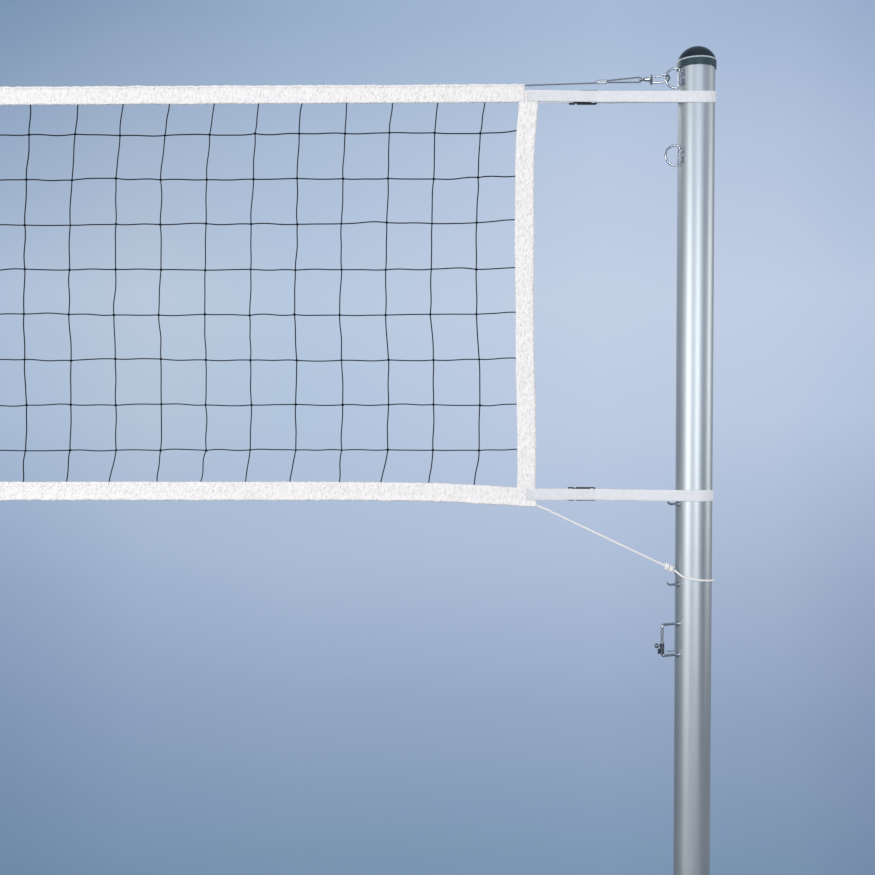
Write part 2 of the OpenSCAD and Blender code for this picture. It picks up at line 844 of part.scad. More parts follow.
// Sewn to the net's front, round the post's front and back, and round the socket's bar
module strap(sew_z, buckle_z, loop_z) {
    bend_at = [bend_x, -strap_y];
    front_az = atan2(bend_at.y, bend_at.x) + acos(loop_r / norm(bend_at));
    leave = [socket_bar_x, buckle_y + turn_r];
    back_az = atan2(leave.y, leave.x) - acos(loop_r / norm(leave));
    meet = loop_r * [cos(front_az), sin(front_az)];
    arrive = loop_r * [cos(back_az), sin(back_az)];
    along = unit(arrive - leave);
    inward = (strap_t - 0.1) * [along.y, -along.x];
    color([0.95, 0.95, 0.94]) {
        webbing([sew_x, -strap_y], bend_at, sew_z, buckle_z);
        fold(bend_at, buckle_z);
        webbing(bend_at, meet + lap * unit(meet - bend_at), buckle_z, loop_z);
        rotate([0, 0, front_az])
            rotate_extrude(angle = back_az - front_az, $fn = 128)
                translate([loop_r - strap_t / 2 - ply, loop_z - strap_w / 2 - ply])
                    square([strap_t + 2 * ply, strap_w + 2 * ply]);
        webbing(leave, arrive + lap * along, buckle_z, loop_z);
        fold(leave, buckle_z);
        translate([socket_bar_x, buckle_y, 0])
            bar_turn(buckle_z);
        fold([socket_bar_x, buckle_y - turn_r], buckle_z);
        webbing([socket_bar_x, buckle_y - turn_r], leave + 22 * along + inward, buckle_z, buckle_z);
        fold(leave + 22 * along + inward, buckle_z);
        webbing(leave + 22 * along + inward, leave + 42 * along + inward, buckle_z, buckle_z);
    }
}

module upper_strap() {
    strap(upper_sew_z, upper_buckle_z, upper_strap_z);
}

module lower_strap() {
    strap(lower_strap_z, lower_strap_z, lower_strap_z);
}

// Sewn to the net's back and folded round the plug's bar
module tab(z) {
    bar_at = [plug_bar_x, buckle_y - turn_r];
    band_at = [-edge_gap + bottom_band_out + 2, strap_y];
    along = unit(band_at - bar_at);
    inward = (strap_t - 0.1) * [along.y, -along.x];
    color([0.95, 0.95, 0.94]) {
        webbing([sew_x, strap_y], band_at, z, z);
        fold(band_at, z);
        webbing(band_at, bar_at, z, z);
        fold(bar_at, z);
        translate([plug_bar_x, buckle_y, 0])
            mirror([1, 0, 0])
                bar_turn(z);
        fold([plug_bar_x, buckle_y + turn_r], z);
        webbing([plug_bar_x, buckle_y + turn_r], bar_at + 25 * along + inward, z, z);
        fold(bar_at + 25 * along + inward, z);
        webbing(bar_at + 25 * along + inward, bar_at + 55 * along + inward, z, z);
    }
}

module upper_tab() {
    tab(upper_buckle_z);
}

module lower_tab() {
    tab(lower_strap_z);
}

// Space for the webbing at a bar, from x = 0
module bar_gap(length) {
    translate([-1, -buckle_t, -strap_w / 2 - 0.5])
        cube([length + 1, 2 * buckle_t, strap_w + 1]);
}

module bar() {
    translate([0, 0, -buckle_h / 2 + 1])
        cylinder(h = buckle_h - 2, r = bar_r, $fn = 32);
}

module buckle_socket(z) {
    color([0.07, 0.07, 0.08])
        translate([mouth_x, buckle_y, z]) {
            difference() {
                plate(socket_len, buckle_h, buckle_t, 3);
                translate([socket_len, 0, 0])
                    mirror([1, 0, 0])
                        bar_gap(2 * bar_r + 9);
                translate([-1, -buckle_t / 2 + 1.8, -buckle_h / 2 + 2.4])
                    cube([prong_len + 4, buckle_t - 3.6, buckle_h - 4.8]);
                translate([12, -buckle_t / 2 + 1.8, -buckle_h])
                    cube([10, buckle_t - 3.6, 2 * buckle_h]);
            }
            translate([socket_len - bar_r, 0, 0])
                bar();
        }
}

module buckle_plug(z) {
    prong_t = 2.2;
    prong_w = buckle_t - 4.2;
    prong_z = buckle_h / 2 - 2.7 - prong_t;
    reach = plug_base + 3.2;
    color([0.07, 0.07, 0.08])
        translate([plug_bar_x - bar_r, buckle_y, z]) {
            difference() {
                plate(plug_base, buckle_h, buckle_t, 2);
                bar_gap(2 * bar_r + 6);
            }
            translate([bar_r, 0, 0])
                bar();
            for (side = [0, 1])
                mirror([0, 0, side]) {
                    translate([plug_base - 1, -prong_w / 2, prong_z])
                        cube([prong_len + 4.2, prong_w, prong_t]);
                    translate([reach + 12.4, -prong_w / 2, prong_z])
                        cube([9.2, prong_w, prong_t + 2.3]);
                }
            translate([plug_base - 1, -prong_w / 2, -2])
                cube([prong_len - 2, prong_w, 4]);
        }
}

module upper_buckle_socket() {
    buckle_socket(upper_buckle_z);
}

module lower_buckle_socket() {
    buckle_socket(lower_strap_z);
}

module upper_buckle_plug() {
    buckle_plug(upper_buckle_z);
}

module lower_buckle_plug() {
    buckle_plug(lower_strap_z);
}

// Turns of the tie cord round its own standing part, with one riding across them
module tie_knot() {
    from_net = knot_end - [cord_exit + 8, 0, cord_z - 2];
    color([0.95, 0.95, 0.93])
        translate(knot_end)
            rotate([0, -asin(from_net.z / norm(from_net)), atan2(from_net.y, from_net.x)])
                translate([-wrap_pitch - cord_r - 2.5, 0, 0]) {
                    for (k = [-1 : 1])
                        translate([k * wrap_pitch, 0, 0])
                            rotate([0, 90, 0])
                                rotate_extrude($fn = 48)
                                    translate([wrap_r, 0])
                                        circle(r = cord_r, $fn = 24);
                    translate([-wrap_pitch, -wrap_r - cord_r, -2])
                        rotate([0, -12, 0])
                            rod(2 * wrap_pitch, cord_r);
                }
}

net_mesh();
top_hem();
bottom_hem();
top_cable();
bottom_cord();
right()  // right_side_hem
        side_hem();
right()  // right_post
        post();
right()  // right_post_cap
        post_cap();
right()  // right_upper_ring_clip
        upper_ring_clip();
right()  // right_lower_ring_clip
        lower_ring_clip();
right()  // right_clip_rivets
        clip_rivets();
right()  // right_upper_ring
        upper_ring();
right()  // right_lower_ring
        lower_ring();
right()  // right_upper_hook
        upper_hook();
right()  // right_lower_hook
        lower_hook();
right()  // right_hook_nuts
        hook_nuts();
right()  // right_tie_bracket
        tie_bracket();
right()  // right_bracket_latch
        bracket_latch();
right()  // right_snap_hook
        snap_hook();
right()  // right_snap_gate
        snap_gate();
right()  // right_snap_eye
        snap_eye();
right()  // right_cable_ferrule
        cable_ferrule();
right()  // right_upper_strap
        upper_strap();
right()  // right_lower_strap
        lower_strap();
right()  // right_upper_tab
        upper_tab();
right()  // right_lower_tab
        lower_tab();
right()  // right_upper_buckle_socket
        upper_buckle_socket();
right()  // right_upper_buckle_plug
        upper_buckle_plug();
right()  // right_lower_buckle_socket
        lower_buckle_socket();
right()  // right_lower_buckle_plug
        lower_buckle_plug();
right()  // right_tie_knot
        tie_knot();
left()  // left_side_hem
        side_hem();
left()  // left_post
        post();
left()  // left_post_cap
        post_cap();
left()  // left_upper_ring_clip
        upper_ring_clip();
left()  // left_lower_ring_clip
        lower_ring_clip();
left()  // left_clip_rivets
        clip_rivets();
left()  // left_upper_ring
        upper_ring();
left()  // left_lower_ring
        lower_ring();
left()  // left_upper_hook
        upper_hook();
left()  // left_lower_hook
        lower_hook();
left()  // left_hook_nuts
        hook_nuts();
left()  // left_tie_bracket
        tie_bracket();
left()  // left_bracket_latch
        bracket_latch();
left()  // left_snap_hook
        snap_hook();
left()  // left_snap_gate
        snap_gate();
left()  // left_snap_eye
        snap_eye();
left()  // left_cable_ferrule
        cable_ferrule();
left()  // left_upper_strap
        upper_strap();
left()  // left_lower_strap
        lower_strap();
left()  // left_upper_tab
        upper_tab();
left()  // left_lower_tab
        lower_tab();
left()  // left_upper_buckle_socket
        upper_buckle_socket();
left()  // left_upper_buckle_plug
        upper_buckle_plug();
left()  // left_lower_buckle_socket
        lower_buckle_socket();
left()  // left_lower_buckle_plug
        lower_buckle_plug();
left()  // left_tie_knot
        tie_knot();
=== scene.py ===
# Volleyball net between two posts: the soft pieces, finishes, floor, light and camera round the
# CAD frame.
import math

import bpy
import numpy as np
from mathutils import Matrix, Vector, noise

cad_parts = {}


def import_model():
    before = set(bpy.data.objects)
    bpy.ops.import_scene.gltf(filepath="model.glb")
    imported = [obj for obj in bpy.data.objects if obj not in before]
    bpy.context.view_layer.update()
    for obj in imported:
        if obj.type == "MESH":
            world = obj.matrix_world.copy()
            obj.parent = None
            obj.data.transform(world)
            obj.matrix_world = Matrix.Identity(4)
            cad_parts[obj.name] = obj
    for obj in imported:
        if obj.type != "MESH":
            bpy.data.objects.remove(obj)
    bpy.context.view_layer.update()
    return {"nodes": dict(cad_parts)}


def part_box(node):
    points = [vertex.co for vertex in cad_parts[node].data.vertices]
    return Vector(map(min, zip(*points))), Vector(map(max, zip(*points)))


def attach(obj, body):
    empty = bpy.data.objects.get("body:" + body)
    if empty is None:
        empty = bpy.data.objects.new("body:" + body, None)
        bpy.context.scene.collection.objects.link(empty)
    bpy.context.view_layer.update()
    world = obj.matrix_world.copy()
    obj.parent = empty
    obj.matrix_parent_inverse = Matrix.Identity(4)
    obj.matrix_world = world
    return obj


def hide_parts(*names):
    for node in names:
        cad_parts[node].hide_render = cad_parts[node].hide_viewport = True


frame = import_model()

ROOT = "net_and_posts"
RIGHT, LEFT = 1, -1
SIDE_NAMES = {RIGHT: "right", LEFT: "left"}
rng = np.random.default_rng(7)

# Sizes, in metres ---------------------------------------------------------------------------------
# Each end is laid out with x from its post's axis (negative toward the net) and z from the court.
FOOT = 0.25
post_low, post_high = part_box("right_post")
POST_X = (post_low[0] + post_high[0]) / 2
POST_R = (post_high[0] - post_low[0]) / 2
COURT = post_low[2] + FOOT
band_low, band_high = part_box("top_hem")
NET_TOP = band_high[2] - COURT
TOP_BAND = band_high[2] - band_low[2]
TOP_HALF = band_high[0]
hem_low, hem_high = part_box("bottom_hem")
NET_BOTTOM = hem_low[2] - COURT
BOTTOM_BAND = hem_high[2] - COURT - NET_BOTTOM
BOTTOM_HALF = hem_high[0]
side_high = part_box("right_side_hem")[1]
SIDE_BAND = 0.043
EDGE_GAP = POST_X - side_high[0]
NET_HALF = side_high[0]
SIDE_TOP = side_high[2] - COURT
BAND_T = 0.003
PLY = 0.0007
TOP_FOLD_R = 0.003
BOTTOM_FOLD_R = 0.00375
SOFT_GAP = 0.0003
SEAT = 0.00005

# Netting
MESH_CORD = 0.0028
COLUMNS = 94
COLUMN_PITCH = 0.1020
ROWS = 8
ROW_PITCH = 0.1016
FIRST_ROW = 2.3174
SEWN_IN = 0.006         # how far the columns run into the long bands
ROW_END_IN = 0.008      # how far the rows run into the side bands

# Cable and cord
CABLE_R = 0.0016
CORD_R = 0.0024
CABLE_Z = NET_TOP - 0.003
CORD_Z = NET_BOTTOM + BOTTOM_FOLD_R

# Webbing
STRAP_W = 0.0254
STRAP_T = 0.0016
STRAP_Y = BAND_T / 2 + SEAT + STRAP_T / 2
SEW_X = -EDGE_GAP - 0.017
SOCKET_X = 0.225
SOCKET_LEN = 0.046
BAR_R = 0.002
BUCKLE_T = 0.010
UPPER_STRAP_Z = NET_TOP - 0.038
UPPER_BUCKLE_Z = NET_TOP - 0.027
LOWER_STRAP_Z = NET_BOTTOM + 0.020


# How the net hangs --------------------------------------------------------------------------------

TOP_RISE, TOP_SAG = 0.0022, 0.019
BOTTOM_RISE, CORNER_DROP, CORNER_REACH = 0.0055, 0.0159, 0.16


def in_from_end(x):
    return max(0.0, NET_HALF - abs(x))


def top_line(x):
    """Rise of the top band over a level line: its cable sags a little under the net."""
    return TOP_RISE - TOP_SAG * (1 - (1 - in_from_end(x) / NET_HALF) ** 2)


def bottom_line(x):
    """Rise of the bottom band over a level line: its cord pulls the corners down."""
    return BOTTOM_RISE - CORNER_DROP * math.exp(-(in_from_end(x) / CORNER_REACH) ** 1.3)


# Meshes -------------------------------------------------------------------------------------------

def unit(v):
    return v / np.linalg.norm(v)


def turned(path):
    """Tangents along a path, with two normals that don't twist."""
    tangent = np.gradient(path, axis=0)
    tangent /= np.linalg.norm(tangent, axis=1)[:, None]
    first = unit(np.cross(tangent[0], (0.31, 0.9, 0.29)))
    normals = [first]
    for t in tangent[1:]:
        first = unit(first - t * (first @ t))
        normals.append(first)
    normals = np.array(normals)
    return tangent, normals, np.cross(tangent, normals)


def run_lengths(path):
    return np.concatenate([[0], np.cumsum(np.linalg.norm(np.diff(path, axis=0), axis=1))])


def respaced(path, step):
    """The same polyline with points an even step apart."""
    path = np.asarray(path, float)
    s = run_lengths(path)
    at = np.linspace(0, s[-1], max(2, int(round(s[-1] / step)) + 1))
    return np.stack([np.interp(at, s, path[:, k]) for k in range(3)], 1)


def smoothed(path, rounds):
    path = np.array(path)
    for _ in range(rounds):
        path[1:-1] = (path[:-2] + 2 * path[1:-1] + path[2:]) / 4
    return path


class Shape:
    """Quads and end caps gathered for one mesh, with a UV of (round, along in metres)."""

    def __init__(self):
        self.verts, self.quads, self.uvs, self.caps, self.size = [], [], [], [], 0

    def skin(self, rings, along, across=None, capped=True, looped=False):
        n, k, _ = rings.shape
        across = np.linspace(0, 1, k + 1) if across is None else np.append(across, across[0])
        i, j = np.arange(n if looped else n - 1)[:, None], np.arange(k)[None, :]
        far = (i + 1) % n
        a, b = i * k + j, i * k + (j + 1) % k
        d, c = far * k + j, far * k + (j + 1) % k
        self.verts.append(rings.reshape(-1, 3))
        self.quads.append(self.size + np.stack([a, b, c, d], -1).reshape(-1, 4))
        along = np.append(along, along[-1])
        u0, u1 = across[j] + 0 * i, across[j + 1] + 0 * i
        v0, v1 = along[i] + 0 * j, along[i + 1] + 0 * j
        uv = np.stack([np.stack([u0, v0], -1), np.stack([u1, v0], -1),
                       np.stack([u1, v1], -1), np.stack([u0, v1], -1)], 2)
        self.uvs.append(uv.reshape(-1, 2))
        if capped and not looped:
            self.caps.append(list(range(self.size + k - 1, self.size - 1, -1)))
            self.caps.append(list(range(self.size + (n - 1) * k, self.size + n * k)))
        self.size += n * k

    def tube(self, path, radius, sides=8, **more):
        turn = np.arange(sides) * 2 * math.pi / sides
        self.sweep(path, radius * np.stack([np.cos(turn), np.sin(turn)], 1), **more)

    def sweep(self, path, section, looped=False, **more):
        """A closed section, one for all or one for each point, carried along a path."""
        path = np.asarray(path, float)
        _, n, b = turned(path)
        section = np.broadcast_to(section, (len(path),) + np.shape(section)[-2:])
        rings = (path[:, None] + section[..., :1] * n[:, None] + section[..., 1:] * b[:, None])
        self.skin(rings, run_lengths(path), looped=looped, **more)

    def build(self, name, material, body=ROOT, stands_for=()):
        verts = np.concatenate(self.verts)
        quads = np.concatenate(self.quads)
        mesh = bpy.data.meshes.new(name)
        mesh.from_pydata(verts.tolist(), [], quads.tolist() + self.caps)
        uv = np.zeros((len(mesh.loops), 2))
        flat = np.concatenate(self.uvs)
        uv[: len(flat)] = flat
        mesh.uv_layers.new(name="run").data.foreach_set("uv", uv.ravel())
        mesh.polygons.foreach_set("use_smooth", np.ones(len(mesh.polygons), bool))
        mesh.materials.append(material)
        mesh.update()
        piece = bpy.data.objects.new(name, mesh)
        bpy.context.scene.collection.objects.link(piece)
        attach(piece, body)
        if stands_for:
            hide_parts(*stands_for)
        return piece


def placed(path, side):
    """Points of an end's layout in the row frame."""
    path = np.array(path, float)
    path[:, 0] = side * (path[:, 0] + POST_X)
    path[:, 2] += COURT
    return path


# Materials ----------------------------------------------------------------------------------------

class Finish:
    """A Principled material, with short calls for the nodes that drive it."""

    def __init__(self, name, color, roughness, metallic=0.0, **sockets):
        self.material = bpy.data.materials.new(name)
        self.material.use_nodes = True
        self.tree = self.material.node_tree
        self.shader = self.tree.nodes["Principled BSDF"]
        self.set("Base Color", (*color, 1))
        self.set("Roughness", roughness)
        self.set("Metallic", metallic)
        for socket, value in sockets.items():
            self.set(socket.replace("_", " "), value)

    def set(self, socket, value):
        self.shader.inputs[socket].default_value = value

    def node(self, kind, inputs=(), **settings):
        made = self.tree.nodes.new(kind)
        for name, value in settings.items():
            setattr(made, name, value)
        for name, value in dict(inputs).items():
            if isinstance(value, bpy.types.NodeSocket):
                self.tree.links.new(value, made.inputs[name])
            else:
                made.inputs[name].default_value = value
        return made

    def place(self, scale=(1, 1, 1), source="Object"):
        coords = self.node("ShaderNodeTexCoord").outputs[source]
        return self.node("ShaderNodeMapping", {"Vector": coords, "Scale": scale}).outputs[0]

    def noise(self, where, scale, detail=3.0, rough=0.5):
        return self.node("ShaderNodeTexNoise", {"Vector": where, "Scale": scale, "Detail": detail,
                                                "Roughness": rough}).outputs[0]

    def math(self, kind, a, b=0.0):
        made = self.node("ShaderNodeMath", operation=kind)
        for k, value in enumerate((a, b)):
            if isinstance(value, bpy.types.NodeSocket):
                self.tree.links.new(value, made.inputs[k])
            else:
                made.inputs[k].default_value = value
        return made.outputs[0]

    def uv(self):
        return self.node("ShaderNodeSeparateXYZ",
                         {"Vector": self.node("ShaderNodeTexCoord").outputs["UV"]}).outputs

    def stripes(self, u, v, turns, pitch):
        """Waves that climb round a cord: so many turns round it, one step in each pitch."""
        phase = self.math("ADD", self.math("MULTIPLY", u, 2 * math.pi * turns),
                          self.math("MULTIPLY", v, 2 * math.pi / pitch))
        return self.math("SINE", phase)

    def ramp(self, value, stops, socket="Base Color"):
        made = self.node("ShaderNodeValToRGB", {"Fac": value})
        ramp = made.color_ramp
        while len(ramp.elements) < len(stops):
            ramp.elements.new(0.5)
        for element, (at, color) in zip(ramp.elements, stops):
            element.position = at
            element.color = (*color, 1) if hasattr(color, "__len__") else (color, color, color, 1)
        self.tree.links.new(made.outputs[0], self.shader.inputs[socket])

    def bump(self, height, distance, strength=1.0):
        last = self.shader.inputs["Normal"]
        chained = {"Normal": last.links[0].from_socket} if last.is_linked else {}
        made = self.node("ShaderNodeBump", {"Height": height, "Distance": distance,
                                            "Strength": strength, **chained})
        self.tree.links.new(made.outputs[0], last)


def post_finish():
    """Satin aluminium drawn lengthwise, with faint handling marks."""
    made = Finish("satin_aluminium", (0.6, 0.63, 0.64), 0.46, metallic=0.94)
    drawn = made.noise(made.place((90, 90, 0.7)), 1.0, 4)
    cloudy = made.noise(made.place((6, 6, 2.5)), 1.0, 5, 0.6)
    mixed = made.math("ADD", made.math("MULTIPLY", drawn, 0.6), made.math("MULTIPLY", cloudy, 0.4))
    made.ramp(mixed, [(0.3, (0.475, 0.508, 0.518)), (0.7, (0.616, 0.649, 0.658))])
    made.ramp(mixed, [(0.25, 0.43), (0.75, 0.53)], "Roughness")
    made.bump(drawn, 0.00004)
    made.bump(made.noise(made.place(), 900, 2), 0.00003)
    return made.material


def zinc_finish():
    """Bright zinc plate on steel."""
    made = Finish("zinc_steel", (0.6, 0.61, 0.62), 0.2, metallic=1.0)
    cloudy = made.noise(made.place(), 160, 5, 0.6)
    made.ramp(cloudy, [(0.3, (0.40, 0.41, 0.43)), (0.7, (0.74, 0.75, 0.76))])
    made.ramp(cloudy, [(0.3, 0.3), (0.75, 0.13)], "Roughness")
    made.bump(made.noise(made.place(), 1400, 3), 0.00003)
    return made.material


def ferrule_finish():
    """Pressed aluminium sleeve with the marks of the crimping jaws."""
    jaw_pitch = 0.006
    made = Finish("crimped_aluminium", (0.78, 0.78, 0.79), 0.36, metallic=0.9)
    made.ramp(made.noise(made.place(), 300, 4),
              [(0.3, (0.66, 0.66, 0.68)), (0.7, (0.86, 0.86, 0.86))])
    jaws = made.node("ShaderNodeSeparateXYZ",
                     {"Vector": made.place((1 / jaw_pitch,) * 3)}).outputs[0]
    made.bump(made.math("SINE", made.math("MULTIPLY", jaws, 2 * math.pi)), 0.0003)
    return made.material


def cap_finish():
    """Black plastic: a smooth dome with a painted highlight along the edge at its foot, over a scuffed
    slate skirt.
    """
    dome_height = 0.0335
    made = Finish("cap_plastic", (0.012, 0.014, 0.018), 0.32)
    low, high = (corner[2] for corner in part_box("right_post_cap"))
    here = made.node("ShaderNodeTexCoord").outputs["Object"]
    height = made.node("ShaderNodeSeparateXYZ", {"Vector": here}).outputs[2]
    up = made.node("ShaderNodeMapRange",
                   {"Value": height, "From Min": low, "From Max": high}).outputs[0]
    scuffs = made.noise(made.place(), 260, 5, 0.65)
    stirred = made.math("ADD", up, made.math("MULTIPLY", made.math("SUBTRACT", scuffs, 0.5), 0.04))
    edge = (high - dome_height - low) / (high - low)
    # The pale band just under the dome's foot is a painted highlight on the step's edge.
    made.ramp(stirred, [(0.0, (0.022, 0.045, 0.058)), (edge - 0.05, (0.028, 0.055, 0.068)),
                        (edge - 0.02, (0.45, 0.52, 0.55)), (edge + 0.005, (0.42, 0.48, 0.52)),
                        (edge + 0.04, (0.010, 0.018, 0.022)), (1.0, (0.006, 0.011, 0.014))])
    made.ramp(scuffs, [(0.3, 0.2), (0.8, 0.5)], "Roughness")
    made.bump(made.noise(made.place(), 1500, 2), 0.00005)
    return made.material


def plastic_finish():
    """Black moulded acetal with a fine spark-eroded grain."""
    made = Finish("black_acetal", (0.010, 0.010, 0.012), 0.5, Specular_IOR_Level=0.25)
    made.ramp(made.noise(made.place(), 500, 4),
              [(0.3, (0.007, 0.007, 0.009)), (0.8, (0.016, 0.016, 0.018))])
    made.bump(made.noise(made.place(), 2600, 2), 0.00006)
    return made.material


def latch_finish():
    """Dark polished steel."""
    made = Finish("dark_steel", (0.3, 0.31, 0.33), 0.14, metallic=1.0)
    made.ramp(made.noise(made.place(), 260, 5, 0.7),
              [(0.35, (0.20, 0.21, 0.225)), (0.62, (0.34, 0.35, 0.365)), (0.8, (0.5, 0.51, 0.52))])
    made.bump(made.noise(made.place(), 1500, 3), 0.00004)
    return made.material


def netting_finish():
    """Black twisted twine."""
    plies_round, lay = 3, 0.006
    made = Finish("black_twine", (0.008, 0.012, 0.020), 0.85, Specular_IOR_Level=0.1)
    u, v, _ = made.uv()
    twist = made.stripes(u, v, plies_round, lay)
    made.ramp(made.noise(made.place(), 120, 3),
              [(0.3, (0.005, 0.008, 0.014)), (0.8, (0.014, 0.021, 0.034))])
    made.bump(twist, 0.0004)
    return made.material


def braid_finish():
    """White braided cord, with painted shade in the gaps between its strands."""
    strands, lay = 4, 0.0046
    made = Finish("white_braid", (0.88, 0.87, 0.86), 0.7, Sheen_Weight=0.15)
    u, v, _ = made.uv()
    braid = made.math("MAXIMUM", made.stripes(u, v, strands, lay), made.stripes(u, v, -strands, lay))
    # Painted shade: the colour greys in the gaps between the strands, following the braid's bump.
    made.ramp(braid, [(0.2, (0.80, 0.80, 0.80)), (0.75, (0.93, 0.93, 0.93))])
    made.bump(braid, 0.0003)
    return made.material


def cable_finish():
    """Galvanised wire rope: fine wires laid in its strands, with painted shade in the grooves between
    them.
    """
    wires_round, lay = 14, 0.011
    made = Finish("wire_rope", (0.5, 0.51, 0.53), 0.35, metallic=0.95)
    u, v, _ = made.uv()
    wires = made.stripes(u, v, wires_round, -lay)
    # Painted shade: the grooves between the wires are darker than the wires' crowns.
    made.ramp(wires, [(0.1, (0.22, 0.23, 0.245)), (0.8, (0.62, 0.63, 0.65))])
    made.bump(wires, 0.0001)
    return made.material


def band_finish():
    """White coated fabric, puckered by its seams and finely crinkled, with painted shade in the
    puckers' hollows.
    """
    made = Finish("white_band", (0.86, 0.85, 0.845), 0.55, Sheen_Weight=0.1)
    puckers = made.noise(made.place((1.2, 1, 0.8)), 150, 2.5, 0.5)
    # Painted shade: the colour is darker where the puckers sink, lighter on their crowns.
    made.ramp(puckers, [(0.30, (0.735, 0.718, 0.712)), (0.45, (0.835, 0.817, 0.812)),
                        (0.6, (0.88, 0.867, 0.867))])
    made.bump(puckers, 0.0040, 1.0)
    weave = made.node("ShaderNodeTexVoronoi", {"Vector": made.place(), "Scale": 700}).outputs[0]
    made.bump(weave, 0.0002, 0.5)
    return made.material


def webbing_finish():
    """White polyester webbing: ribs across it and a fine diagonal in each."""
    ribs, pick_pitch = 11, 0.0013
    made = Finish("white_webbing", (0.80, 0.79, 0.80), 0.6, Sheen_Weight=0.2)
    u, v, _ = made.uv()
    warp = made.math("SINE", made.math("MULTIPLY", u, 2 * math.pi * ribs))
    picks = made.math("SINE", made.math("ADD", made.math("MULTIPLY", v, 2 * math.pi / pick_pitch),
                                        made.math("MULTIPLY", warp, 1.3)))
    weave = made.math("ADD", made.math("MULTIPLY", picks, 0.5), made.math("MULTIPLY", warp, 0.5))
    made.ramp(made.noise(made.place(), 140, 4),
              [(0.3, (0.70, 0.72, 0.757)), (0.75, (0.782, 0.804, 0.846))])
    made.bump(weave, 0.00022, 0.8)
    return made.material


def thread_finish():
    """White sewing thread."""
    made = Finish("sewing_thread", (0.74, 0.73, 0.72), 0.6)
    u, v, _ = made.uv()
    made.bump(made.stripes(u, v, 2, 0.0012), 0.0001)
    made.ramp(made.noise(made.place(), 400, 2),
              [(0.3, (0.6, 0.59, 0.58)), (0.8, (0.82, 0.81, 0.8))])
    return made.material


POST_FINISH, ZINC, FERRULE = post_finish(), zinc_finish(), ferrule_finish()
CAP, ACETAL, LATCH = cap_finish(), plastic_finish(), latch_finish()
TWINE, BRAID, ROPE = netting_finish(), braid_finish(), cable_finish()
BAND, WEBBING, THREAD = band_finish(), webbing_finish(), thread_finish()

CAD_FINISHES = {
    "post": POST_FINISH, "post_cap": CAP, "bracket_latch": LATCH, "cable_ferrule": FERRULE,
    "upper_buckle_socket": ACETAL, "upper_buckle_plug": ACETAL,
    "lower_buckle_socket": ACETAL, "lower_buckle_plug": ACETAL,
}
for name, piece in frame["nodes"].items():
    finish = CAD_FINISHES.get(name.split("_", 1)[1], ZINC)
    if not piece.material_slots:
        piece.data.materials.append(finish)
    for slot in piece.material_slots:
        slot.material = finish


# Camera -------------------------------------------------------------------------------------------
# Fitted to the post, bands, straps, netting and fittings of the right end.
CAMERA_FROM_POST = -0.6023
CAMERA_Y = -2.509
CAMERA_ABOVE_COURT = 1.701
CAMERA_YAW, CAMERA_PITCH = -0.35, -1.59
CAMERA_LENS = 45.22

camera = bpy.data.objects.new("camera", bpy.data.cameras.new("camera"))
camera.data.lens = CAMERA_LENS
camera.data.sensor_width = 36
camera.location = (POST_X + CAMERA_FROM_POST, CAMERA_Y, COURT + CAMERA_ABOVE_COURT)
camera.rotation_euler = (math.radians(90 + CAMERA_PITCH), 0, math.radians(CAMERA_YAW))
bpy.context.scene.collection.objects.link(camera)
bpy.context.scene.camera = camera


# Cords --------------------------------------------------------------------------------------------

FIT_TURN = math.radians(22)
CLIP_T = 0.0008
RING_WIRE_R = 0.0025
RING_REACH = 0.0314
RING_Z = post_high[2] - COURT - 0.040
leg = -(POST_R + CLIP_T + RING_WIRE_R) * np.array([math.cos(FIT_TURN), math.sin(FIT_TURN)])
CABLE_EXIT_X = TOP_HALF - POST_X
pull_yaw = math.atan2(-leg[1], CABLE_EXIT_X - leg[0])
pull_at = leg + RING_REACH * np.array([math.cos(pull_yaw), math.sin(pull_yaw)])
pull_fall = math.atan2(RING_Z - CABLE_Z, math.hypot(CABLE_EXIT_X - pull_at[0], pull_at[1]))
EYE_U = 0.05305
EYE_R, EYE_WIRE = 0.0052, 0.0042
LOOP_R = 0.0055
EYE_LEN = 0.080
FERRULE_LEN = 0.022
CABLE_IN = 0.02         # how far each end's path runs into the band
LAP = 0.001             # where it meets the run inside
LANE = CABLE_R + SOFT_GAP
STRANDS, STRAND_LAY = 6, 0.021


def pulled(along, up):
    """A point on the pull line's own frame, from the upper ring's wire toward the net."""
    out = along * math.cos(pull_fall) + up * math.sin(pull_fall)
    return [pull_at[0] + out * math.cos(pull_yaw), pull_at[1] + out * math.sin(pull_yaw),
            RING_Z - along * math.sin(pull_fall) + up * math.cos(pull_fall)]


def cable_end():
    """From the dead end in the ferrule, round the swivel's eye and into the top band."""
    ferrule_u = EYE_U + EYE_LEN
    bend_u = EYE_U + EYE_R + LOOP_R - EYE_WIRE / 2 - CABLE_R - 0.0001
    turn = np.radians(np.arange(90, 271, 10))
    eye = ([(ferrule_u + FERRULE_LEN + 0.001, LANE), (ferrule_u, LANE)]
           + [(bend_u + LOOP_R * math.cos(a), LOOP_R * math.sin(a)) for a in turn]
           + [(ferrule_u, -LANE), (ferrule_u + FERRULE_LEN, -LANE),
              (ferrule_u + FERRULE_LEN + 0.008, -LANE + 0.0002)])
    exit_z = CABLE_Z + top_line(TOP_HALF)
    return ([pulled(*at) for at in eye]
            + [[CABLE_EXIT_X + 0.004, 0, exit_z], [CABLE_EXIT_X - CABLE_IN, 0, exit_z]])


def inside_run(half, z, line):
    """The run of a cable or cord inside its band."""
    return [(x, 0, z + line(x) + COURT) for x in np.linspace(-half, half, 200)]


